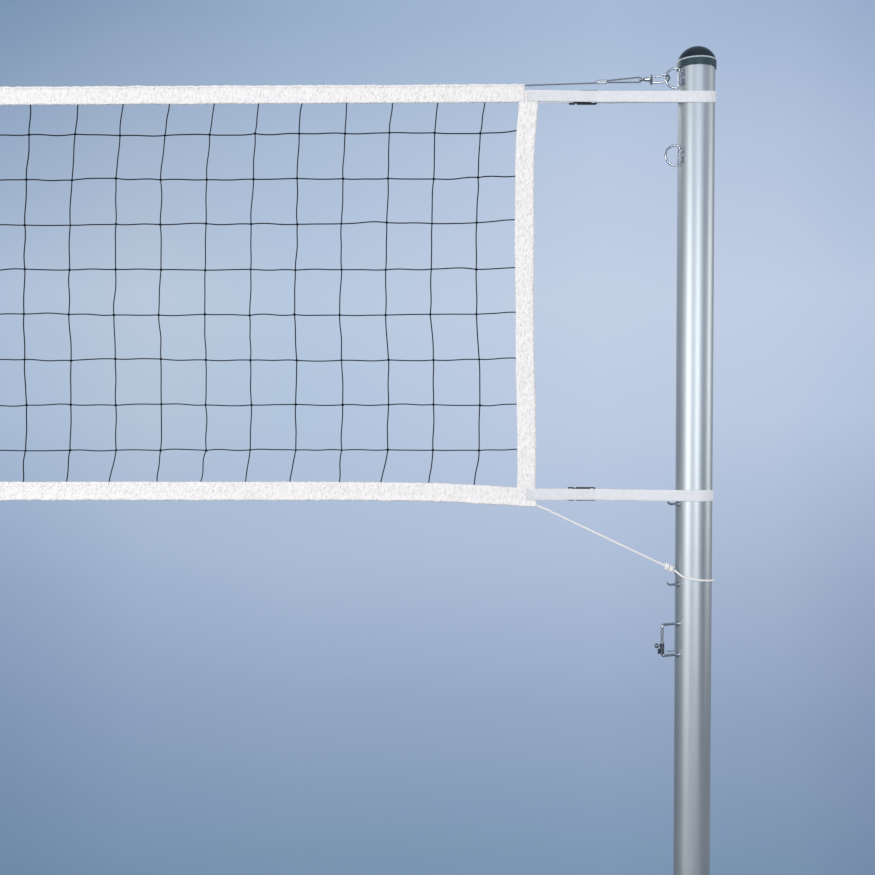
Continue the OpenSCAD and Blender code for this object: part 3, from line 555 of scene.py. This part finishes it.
def wire_rope():
    """Strands laid round the cable where it shows; a plain tube inside the band."""
    shape = Shape()
    for side in (RIGHT, LEFT):
        path = smoothed(respaced(placed(cable_end(), side), 0.0011), 2)
        s = run_lengths(path)
        turn = np.arange(24) * 2 * math.pi / 24
        lay = turn[None, :] * STRANDS + s[:, None] * 2 * math.pi * STRANDS / STRAND_LAY
        radius = CABLE_R * (0.93 + 0.11 * np.abs(np.cos(lay / 2)))
        shape.sweep(path, np.stack([radius * np.cos(turn), radius * np.sin(turn)], -1))
    shape.tube(inside_run(TOP_HALF - CABLE_IN + LAP, CABLE_Z, top_line), CABLE_R * 0.98)
    return shape.build("wire_rope", ROPE, stands_for=["top_cable"])


KNOT_END = np.array([-0.047, -0.015, NET_BOTTOM - 0.153])
TIE_LOW = NET_BOTTOM - 0.175
TIE_RISE = 0.0115
CORD_EXIT = -EDGE_GAP + 0.008
CORD_IN = 0.04
corner_z = CORD_Z + bottom_line(BOTTOM_HALF)
band_exit = np.array([CORD_EXIT + 0.008, 0, corner_z - 0.002])
tie_r = POST_R + SOFT_GAP + CORD_R


def cord_end():
    """From the end behind the knot, round the post, through the knot and into the bottom band."""
    az = math.atan2(KNOT_END[1], KNOT_END[0])
    turn = math.acos(tie_r / math.hypot(KNOT_END[0], KNOT_END[1]))
    front, back = az + turn, az - turn + 2 * math.pi
    round_post = [(tie_r * math.cos(a), tie_r * math.sin(a),
                   TIE_LOW + TIE_RISE * (0.5 - math.cos(a) / 2) ** 1.6)
                  for a in np.linspace(back, front, 60)]
    return ([KNOT_END + [0.0008, 2 * CORD_R + SOFT_GAP, -0.006]] + round_post
            + [KNOT_END, band_exit, [CORD_EXIT + 0.003, 0, corner_z],
               [CORD_EXIT - CORD_IN, 0, corner_z]])


def tie_cord():
    """The bottom cord: both its ends, and its run inside the band."""
    shape = Shape()
    for side in (RIGHT, LEFT):
        path = smoothed(respaced(placed(cord_end(), side), 0.0025), 3)
        path[:, 2] = smoothed(path[:, 2], 12)
        shape.tube(path, CORD_R, 12)
    shape.tube(inside_run(BOTTOM_HALF - CORD_IN + LAP, CORD_Z, bottom_line), CORD_R)
    return shape.build("tie_cord", BRAID, stands_for=["bottom_cord"])


def tie_knot(side):
    """Two half hitches round the standing part, and the cord's short tail."""
    first, pitch, gap, turns_each = 0.0035, 0.0040, 0.0022, 2.1
    along = unit(band_exit - KNOT_END)
    up = unit(np.cross(np.cross(along, (0, 0, 1)), along))
    out = np.cross(along, up)
    wrap = 2 * CORD_R + 0.0001
    turns = np.linspace(0, 2 * math.pi * 4.3, 130)
    hitch = np.floor(np.clip(turns / (2 * math.pi) / turns_each, 0, 1.999))
    run = first + turns / (2 * math.pi) * pitch + hitch * gap
    swell = wrap * (1.05 + 0.30 * np.sin(turns * 0.5 + 0.7) ** 2)
    path = [KNOT_END + along * r + s * (math.cos(t) * up + math.sin(t) * out)
            for t, r, s in zip(turns, run, swell)]
    tail = path[-1] + np.outer(np.linspace(0.1, 1, 10), along * 0.004 + up * 0.005 - out * 0.004)
    shape = Shape()
    shape.tube(smoothed(respaced(placed(path + list(tail), side), 0.0015), 3), CORD_R * 1.08, 12)
    name = SIDE_NAMES[side]
    return shape.build(f"{name}_hitches", BRAID, stands_for=[f"{name}_tie_knot"])


wire_rope()
tie_cord()
for side in (RIGHT, LEFT):
    tie_knot(side)


# Netting ------------------------------------------------------------------------------------------

def drift(x, z, seed):
    """A smooth wander of the netting, about -1 to 1."""
    return noise.noise(Vector((x * 2.1, z * 2.6, seed))) * 1.6


SEWN_STRAY, KNOT_STRAY, ROW_STRAY = 0.0040, 0.0012, 0.0011
KNOT_LOOPS = ((0.5, 0.0019), (-0.9, 0.0017))    # lean and radius
# By row from the top band down: how far the columns lean at the net's right end, and how they spread
LEAN = [0.0165, 0.0086, 0.0077, 0.0065, 0.0058, 0.0053, 0.0113, 0.0125, 0.0128, 0.0034]
SPREAD = [0.0062, 0.0052, -0.0015, -0.0047, -0.0075, -0.0106, -0.0134, -0.0148, -0.0171, -0.0216]


def netting_points():
    """Knots by column and row, with the loops on the bands first and last in each column."""
    z = [NET_TOP - TOP_BAND + SEWN_IN] + [FIRST_ROW - k * ROW_PITCH for k in range(ROWS)]
    z.append(NET_BOTTOM + BOTTOM_BAND - SEWN_IN)
    points = np.zeros((COLUMNS, len(z), 3))
    for i in range(COLUMNS):
        x = (i - (COLUMNS - 1) / 2) * COLUMN_PITCH
        for j, height in enumerate(z):
            shift = (LEAN[j] * math.cos((x - NET_HALF) * 0.55)
                     - SPREAD[j] * math.sin((x - NET_HALF) * 1.4))
            if j == 0:
                lift = top_line(x)
            elif j == len(z) - 1:
                lift = bottom_line(x)
            else:
                low = (j / ROWS) ** 2
                lift = ((top_line(x) + 0.0042) * (1 - low) - 0.003 * low
                        + 0.0022 * drift(x * 0.8, height, 4.2) + ROW_STRAY * rng.normal())
            sewn = j in (0, len(z) - 1)
            stray = (SEWN_STRAY if sewn else KNOT_STRAY) * rng.normal()
            points[i, j] = (x + shift + 0.0016 * drift(x, height, 1.5) + stray,
                            0 if sewn else 0.002 * drift(x, height, 9.1), height + lift)
    points[..., 2] += COURT
    return points


def stretch(a, b, bows):
    """A twine between two knots, with the kinks it keeps from its packing."""
    t = np.linspace(0, 1, 9)[:, None]
    path = a + (b - a) * t
    side = np.cross(unit(b - a), (0, 1, 0))
    wobble = (bows[0] * np.sin(math.pi * t) + bows[1] * np.sin(2 * math.pi * t)
              + bows[2] * np.sin(3 * math.pi * t))
    path += wobble * side + bows[3] * np.sin(math.pi * t) * np.array([0, 1, 0])
    return path[:-1]


def netting():
    """Twines down and across, with two small loops for each knot."""
    points = netting_points()
    shape = Shape()
    columns, rows = points.shape[:2]

    def strand(stops):
        path = [stretch(a, b, rng.normal(size=4) * (0.0010, 0.0007, 0.0003, 0.0010))
                for a, b in zip(stops[:-1], stops[1:])]
        shape.tube(np.concatenate(path + [stops[-1:]]), MESH_CORD / 2, 6)

    for i in range(columns):
        strand(points[i])
    edge = NET_HALF - SIDE_BAND + ROW_END_IN
    for j in range(1, rows - 1):
        ends = [(side * edge, 0, points[-1 if side > 0 else 0, j, 2] + 0.004 + 0.002 * rng.normal())
                for side in (LEFT, RIGHT)]
        strand(np.array([ends[0], *points[:, j], ends[1]]))
    turn = np.linspace(0, 2 * math.pi, 9)[:-1]
    for i in range(columns):
        for j in range(1, rows - 1):
            tilt = rng.normal() * 0.35
            for lean, radius in KNOT_LOOPS:
                axis = np.array([math.sin(lean + tilt), 0.25, math.cos(lean + tilt)])
                one = unit(np.cross(axis, (0, 1, 0)))
                two = unit(np.cross(axis, one))
                loop = (points[i, j] + radius * 1.25 * np.cos(turn)[:, None] * one
                        + radius * np.sin(turn)[:, None] * two)
                shape.tube(loop, MESH_CORD * 0.47, 6, looped=True)
    return shape.build("netting", TWINE, stands_for=["net_mesh"])


netting()


# Bands --------------------------------------------------------------------------------------------

BAND_STEP, SIDE_STEP = 0.0045, 0.004
HEM_EASE = 0.002
SIDE_LAP = 0.022
LOW_BOW, HIGH_BOW = 0.0061, 0.0095


def crinkle(x, z, seed):
    """Puckers of a sewn band, about -1 to 1."""
    p = Vector((x * 85, z * 60, seed))
    return noise.noise(p) + 0.5 * noise.noise(p * 2.3)


def band_section(fold_r, depth):
    """(y, down from the fold's centre) along one strip folded over a cord, edge to edge."""
    arc = np.radians(np.linspace(-35, 215, 12))
    fold = [(fold_r * math.cos(a), -fold_r * math.sin(a)) for a in arc]
    flat = np.linspace(fold_r * 0.85, depth, 9)
    return np.array([(BAND_T / 2, d) for d in flat[::-1]] + fold + [(-BAND_T / 2, d) for d in flat])


def plies(outer, inward):
    """The closed section of a folded strip from its outer line and its inward directions."""
    return np.concatenate([outer, (outer + PLY * inward)[::-1]])


def long_band(name, half, fold_z, edge_z, fold_r, line, node):
    """A strip folded over the cord at fold_z, with both its edges sewn to the net at edge_z."""
    section = band_section(fold_r, abs(edge_z - fold_z))
    depth = section[:, 1].max()
    down = -1 if edge_z < fold_z else 1
    seed = 3.3 if down < 0 else 8.7
    xs = np.arange(-half, half + 0.001, BAND_STEP)
    rings = []
    for x in xs:
        fold_wave = (0.0007 * noise.noise(Vector((x * 22, 0, seed)))
                     + 0.0016 * noise.noise(Vector((x * 85, 2, seed))))
        edge_wave = 0.0009 * noise.noise(Vector((x * 17, 5, seed))) + line(x)
        outer, inward = [], []
        for y, d in section:
            share = min(1, max(0, d / depth))
            z = (fold_z + down * (d - fold_wave * (1 - share))
                 + edge_wave * share + line(x) * (1 - share))
            fade = min(1, 4 * share * (1.15 - share) + 0.25)
            puff = 0.0009 * crinkle(x, z, seed + (5 if y > 0 else 0)) * fade
            outer.append((x, y + math.copysign(1, y) * (puff + 0.0004), z + COURT))
            in_y, in_z = ((-math.copysign(1, y), 0) if share > 0.05
                          else (-y / fold_r, -down * d / fold_r))
            inward.append((0, in_y, in_z))
        rings.append(plies(np.array(outer), np.array(inward)))
    rings = np.array(rings)
    shape = Shape()
    shape.skin(rings[:, ::-1] if down < 0 else rings, xs)
    piece = shape.build(name, BAND, stands_for=[node])
    return piece


def side_band(side):
    """A strip folded over an end of the netting, drawn in a little between its corners."""
    low, high = NET_BOTTOM + BOTTOM_BAND - SIDE_LAP, SIDE_TOP
    zs = np.arange(low, high + 0.001, SIDE_STEP)
    across = np.linspace(0, 1, 12)
    outline = [(a, -1) for a in across] + [(a, 1) for a in across[::-1]]
    rings = []
    for z in zs:
        t = (z - low) / (high - low)
        bow = (LOW_BOW * math.exp(-((t - 0.12) / 0.2) ** 2)
               + HIGH_BOW * math.exp(-((1 - t) / 0.1) ** 2) + 0.0005)
        wave = [0.0012 * noise.noise(Vector((z * 16, 3 * e, 6.1 * side))) for e in (0, 1)]
        width = SIDE_BAND + 0.002 * noise.noise(Vector((z * 5, 4, side)))
        outer, inward = [], []
        for a, face in outline:
            x = -EDGE_GAP - width * (1 - a) + bow + wave[0] * (1 - a) + wave[1] * a
            flat = min(1, 8 * (1 - a) + 0.3)
            puff = 0.0010 * crinkle(z, a * SIDE_BAND, 2 * side + face) * min(1, 8 * a * (1 - a) + 0.2)
            outer.append((side * (x + POST_X), face * (BAND_T / 2 * flat + puff + 0.0003), z + COURT))
            inward.append((-side if a == 1 else 0, -face * (0 if a == 1 else min(1, flat)), 0))
        rings.append(plies(np.array(outer), np.array(inward)))
    rings = np.array(rings)
    shape = Shape()
    shape.skin(rings[:, ::-1] if side > 0 else rings, zs)
    name = SIDE_NAMES[side]
    piece = shape.build(f"{name}_side_band", BAND, stands_for=[f"{name}_side_hem"])
    return piece


long_band("top_band", TOP_HALF, CABLE_Z, NET_TOP - TOP_BAND, TOP_FOLD_R, top_line, "top_hem")
long_band("bottom_band", BOTTOM_HALF, CORD_Z, NET_BOTTOM + BOTTOM_BAND + HEM_EASE, BOTTOM_FOLD_R,
          bottom_line, "bottom_hem")
for side in (RIGHT, LEFT):
    side_band(side)


# Straps -------------------------------------------------------------------------------------------

strap_loop_r = POST_R + SOFT_GAP + STRAP_T / 2
BUCKLE_Y = BUCKLE_T / 2 - STRAP_Y + STRAP_T / 2 + 0.0002
TURN_R = BAR_R + 0.0001 + STRAP_T / 2
SOCKET_BAR_X = -SOCKET_X - BAR_R
PLUG_BAR_X = -SOCKET_X - SOCKET_LEN - 0.0152
FRONT_BEND_X = -SOCKET_X + 0.001
UPPER_LIFT, UPPER_TILT = 0.001, 0.0225
LOWER_LIFT, LOWER_TILT = -0.001, -0.0066
STRAP_TAIL, TAB_TAIL = 0.042, 0.055
THREAD_R, STITCH = 0.00028, 0.0028


def half_turn(x, start, toward):
    """Webbing round a bar: the side it starts on in y, and the side of the bar that it passes in x."""
    return [(x + toward * TURN_R * math.sin(a), BUCKLE_Y + start * TURN_R * math.cos(a))
            for a in np.linspace(0, math.pi, 11)]


def strap_route(sew_z, buckle_z, loop_z, lift, tilt):
    """From the sewn end, in a tilted loop round the post, and round the socket's bar."""
    bend_at = np.array([FRONT_BEND_X, -STRAP_Y])
    leave = np.array([SOCKET_BAR_X, BUCKLE_Y + TURN_R])
    front = math.atan2(bend_at[1], bend_at[0]) + math.acos(strap_loop_r / np.linalg.norm(bend_at))
    back = math.atan2(leave[1], leave[0]) - math.acos(strap_loop_r / np.linalg.norm(leave))
    loop = [(strap_loop_r * math.cos(a), strap_loop_r * math.sin(a),
             loop_z + lift + tilt * (1 + math.sin(a)) / 2)
            for a in np.linspace(front, back, 60)]
    along = unit(np.array(loop[-1][:2]) - leave)
    inward = (STRAP_T - 0.0001) * np.array([along[1], -along[0]])
    bar = [(x, y, buckle_z + lift) for x, y in half_turn(SOCKET_BAR_X, 1, -1)]
    tail = [(*(leave + d * along + inward), buckle_z + lift) for d in (0.022, STRAP_TAIL)]
    return [(SEW_X, -STRAP_Y, sew_z + lift), (*bend_at, buckle_z + lift), *loop, *bar, *tail]


def tab_route(z):
    """The short piece from the net's back to the plug's bar."""
    bar_at = np.array([PLUG_BAR_X, BUCKLE_Y - TURN_R])
    band_at = np.array([-EDGE_GAP + 0.010, STRAP_Y])
    along = unit(band_at - bar_at)
    inward = (STRAP_T - 0.0001) * np.array([along[1], -along[0]])
    bar = [(x, y, z) for x, y in half_turn(PLUG_BAR_X, -1, 1)]
    tail = [(*(bar_at + d * along + inward), z) for d in (0.025, TAB_TAIL)]
    return [(SEW_X, STRAP_Y, z), (*band_at, z), *bar, *tail]


def webbing(name, route, side, node):
    """Flat webbing stood on edge along a route, with a soft selvedge and a slight ripple."""
    path = respaced(placed(route, side), 0.0022)
    tangent = np.gradient(path[:, :2], axis=0)
    tangent /= np.linalg.norm(tangent, axis=1)[:, None]
    normal = np.stack([-tangent[:, 1], tangent[:, 0], 0 * tangent[:, 0]], 1)
    t, h = STRAP_T / 2, STRAP_W / 2
    face = np.linspace(-h + 0.0008, h - 0.0008, 6)
    section = ([(-t, b) for b in face] + [(-t * 0.5, h), (t * 0.5, h)]
               + [(t, b) for b in face[::-1]] + [(t * 0.5, -h), (-t * 0.5, -h)])
    section = np.array(section)[::side]
    rings = path[:, None] + section[None, :, :1] * normal[:, None]
    rings[..., 2] += section[None, :, 1]
    for i, (x, _, _) in enumerate(path):
        rings[i, :, 2] += 0.0003 * noise.noise(Vector((x * 30, i * 0.01, 1)))
    shape = Shape()
    shape.skin(rings, run_lengths(path), across=section[:, 1] / STRAP_W + 0.5)
    return shape.build(name, WEBBING, stands_for=[node])


def stitches(name, side, face, z, x_from, x_to):
    """A sewn box with a cross on a strap's end."""
    y = face * (STRAP_Y + STRAP_T / 2 + 0.00015)
    low, high = z - STRAP_W / 2 + 0.003, z + STRAP_W / 2 - 0.003
    corners = [(x_from, low), (x_to, low), (x_to, high), (x_from, high), (x_from, low), (x_to, high)]
    shape = Shape()
    for a, b in list(zip(corners, corners[1:])) + [((x_from, high), (x_to, low))]:
        a, b = np.array(a), np.array(b)
        count = max(2, int(np.linalg.norm(b - a) / STITCH))
        for k in range(count):
            start, end = a + (b - a) * (k + 0.12) / count, a + (b - a) * (k + 0.88) / count
            stops = ((start, -0.0004), (start * 0.8 + end * 0.2, 0.0001),
                     (start * 0.2 + end * 0.8, 0.0001), (end, -0.0004))
            dash = [(p[0], y + face * dy, p[1]) for p, dy in stops]
            shape.tube(placed(dash, side), THREAD_R, 5)
    return shape.build(name, THREAD)


for side in (RIGHT, LEFT):
    name = SIDE_NAMES[side]
    upper_run = strap_route(UPPER_BUCKLE_Z + 0.002, UPPER_BUCKLE_Z, UPPER_STRAP_Z,
                            UPPER_LIFT, UPPER_TILT)
    lower_run = strap_route(LOWER_STRAP_Z, LOWER_STRAP_Z, LOWER_STRAP_Z, LOWER_LIFT, LOWER_TILT)
    webbing(f"{name}_upper_webbing", upper_run, side, f"{name}_upper_strap")
    webbing(f"{name}_lower_webbing", lower_run, side, f"{name}_lower_strap")
    webbing(f"{name}_upper_short_webbing", tab_route(UPPER_BUCKLE_Z), side, f"{name}_upper_tab")
    webbing(f"{name}_lower_short_webbing", tab_route(LOWER_STRAP_Z), side, f"{name}_lower_tab")
    for level, z in (("upper", UPPER_BUCKLE_Z), ("lower", LOWER_STRAP_Z)):
        for face, where in ((-1, "front"), (1, "back")):
            stitches(f"{name}_{level}_{where}_stitches", side, face, z,
                     SEW_X + 0.002, -EDGE_GAP - 0.002)


# Floor, light and background ----------------------------------------------------------------------

def floor():
    """A slate floor round the posts' feet; it ends short of the photograph's view."""
    half_x, front, back = 9.0, -7.0, 1.9
    corners = [(-half_x, front, 0), (half_x, front, 0), (half_x, back, 0), (-half_x, back, 0)]
    mesh = bpy.data.meshes.new("floor")
    mesh.from_pydata(corners, [], [(0, 1, 2, 3)])
    piece = bpy.data.objects.new("floor", mesh)
    bpy.context.scene.collection.objects.link(piece)
    made = Finish("floor", (0.12, 0.16, 0.21), 0.7)
    made.ramp(made.noise(made.place(), 3, 4),
              [(0.3, (0.11, 0.15, 0.20)), (0.7, (0.13, 0.17, 0.22))])
    mesh.materials.append(made.material)


def lamp(name, at, target, width, height, power):
    light = bpy.data.lights.new(name, "AREA")
    light.shape = "RECTANGLE"
    light.size, light.size_y = width, height
    light.energy = power
    holder = bpy.data.objects.new(name, light)
    holder.location = at
    holder.rotation_euler = (Vector(target) - Vector(at)).to_track_quat("-Z", "Y").to_euler()
    bpy.context.scene.collection.objects.link(holder)


# The backdrop's colour by the height of the view's direction, and the shade across it at three
# levels, both from -1 to 1
BACKDROP_BY_HEIGHT = [
    (-1.0, (0.18, 0.25, 0.36)), (-0.385, (0.205, 0.31, 0.455)), (-0.259, (0.305, 0.40, 0.57)),
    (-0.129, (0.43, 0.525, 0.70)), (-0.012, (0.51, 0.60, 0.765)), (0.0965, (0.55, 0.63, 0.79)),
    (0.226, (0.485, 0.58, 0.75)), (0.329, (0.385, 0.50, 0.68)), (1.0, (0.30, 0.40, 0.56))]
SIDE_SHADE = 0.30
BACKDROP_ACROSS = {
    "low": [(-1.0, (SIDE_SHADE,) * 3), (-0.55, (0.45, 0.50, 0.55)), (-0.36, (0.69, 0.75, 0.80)),
            (-0.25, (0.86, 0.89, 0.91)), (-0.12, (0.95, 0.96, 0.96)), (0.15, (1, 1, 1)),
            (0.30, (0.89, 0.90, 0.91)), (0.36, (0.79, 0.80, 0.84)), (0.55, (0.5, 0.52, 0.55)),
            (1.0, (SIDE_SHADE,) * 3)],
    "level": [(-1.0, (SIDE_SHADE,) * 3), (-0.55, (0.55, 0.60, 0.63)), (-0.36, (0.79, 0.85, 0.88)),
              (-0.25, (0.90, 0.93, 0.91)), (-0.12, (0.86, 0.93, 0.94)), (0.0, (0.93, 0.96, 0.97)),
              (0.15, (1, 1, 1)), (0.30, (0.97, 0.97, 0.98)), (0.36, (0.905, 0.93, 0.96)),
              (1.0, (SIDE_SHADE,) * 3)],
    "high": [(-1.0, (SIDE_SHADE,) * 3), (-0.55, (0.35, 0.43, 0.50)), (-0.36, (0.47, 0.56, 0.63)),
             (-0.25, (0.65, 0.70, 0.75)), (-0.12, (0.80, 0.84, 0.87)), (0.0, (0.90, 0.92, 0.92)),
             (0.15, (1, 1, 1)), (0.30, (0.90, 0.91, 0.94)), (0.36, (0.78, 0.81, 0.86)),
             (1.0, (SIDE_SHADE,) * 3)],
}
AMBIENT = (0.69, 0.675, 0.675)


def world():
    """A blue-grey studio backdrop with dark sides; on matt surfaces it casts a neutral light."""
    made = bpy.data.worlds.new("studio")
    bpy.context.scene.world = made
    made.use_nodes = True
    nodes, links = made.node_tree.nodes, made.node_tree.links
    split = nodes.new("ShaderNodeSeparateXYZ")
    links.new(nodes.new("ShaderNodeTexCoord").outputs["Generated"], split.inputs[0])

    def scaled(axis, low, high):
        node = nodes.new("ShaderNodeMapRange")
        node.inputs["From Min"].default_value = low
        node.inputs["From Max"].default_value = high
        links.new(split.outputs[axis], node.inputs["Value"])
        return node.outputs[0]

    def ramp(axis, stops):
        node = nodes.new("ShaderNodeValToRGB")
        while len(node.color_ramp.elements) < len(stops):
            node.color_ramp.elements.new(0.5)
        for element, (at, color) in zip(node.color_ramp.elements, stops):
            element.position, element.color = (at + 1) / 2, (*color, 1)
        links.new(scaled(axis, -1, 1), node.inputs[0])
        return node.outputs[0]

    def mix(kind, share, a, b):
        node = nodes.new("ShaderNodeMix")
        node.data_type, node.blend_type = "RGBA", kind
        for socket, value in ((0, share), (6, a), (7, b)):
            if isinstance(value, bpy.types.NodeSocket):
                links.new(value, node.inputs[socket])
            else:
                node.inputs[socket].default_value = value
        return node.outputs[2]

    across = {level: ramp(0, stops) for level, stops in BACKDROP_ACROSS.items()}
    lower = mix("MIX", scaled(2, -0.15, 0.0), across["low"], across["level"])
    whole = mix("MIX", scaled(2, 0.10, 0.33), lower, across["high"])
    backdrop = mix("MULTIPLY", 1, ramp(2, BACKDROP_BY_HEIGHT), whole)
    path = nodes.new("ShaderNodeLightPath")
    seen = path.outputs["Is Camera Ray"]
    for kind in ("Is Glossy Ray", "Is Transmission Ray"):
        either = nodes.new("ShaderNodeMath")
        either.operation = "MAXIMUM"
        links.new(seen, either.inputs[0])
        links.new(path.outputs[kind], either.inputs[1])
        seen = either.outputs[0]
    links.new(mix("MIX", seen, (*AMBIENT, 1), backdrop), nodes["Background"].inputs["Color"])


AIM_Z = COURT + 1.9
# Name: place and aim with x from the post outward, width, height, power. Each end has a set.
LAMPS = {
    "key": ((-5.2, -4.4, 2.2), 0.0, 2.2, 2.0, 162),
    "front": ((0.35, -5.0, 2.2), -0.4, 1.6, 1.9, 74),
    "rim": ((4.5, -0.3, 2.4), 0.0, 1.2, 2.4, 46),
    "back": ((-3.0, 5.0, 5.0), -2.5, 3.0, 1.6, 40),
}

floor()
world()
for side in (RIGHT, LEFT):
    end = side * POST_X
    for kind, ((x, y, z), aim_x, width, height, power) in LAMPS.items():
        lamp(f"{SIDE_NAMES[side]}_{kind}", (end + side * x, y, z), (end + side * aim_x, 0, AIM_Z),
             width, height, power)

bpy.context.scene.view_settings.view_transform = "Standard"
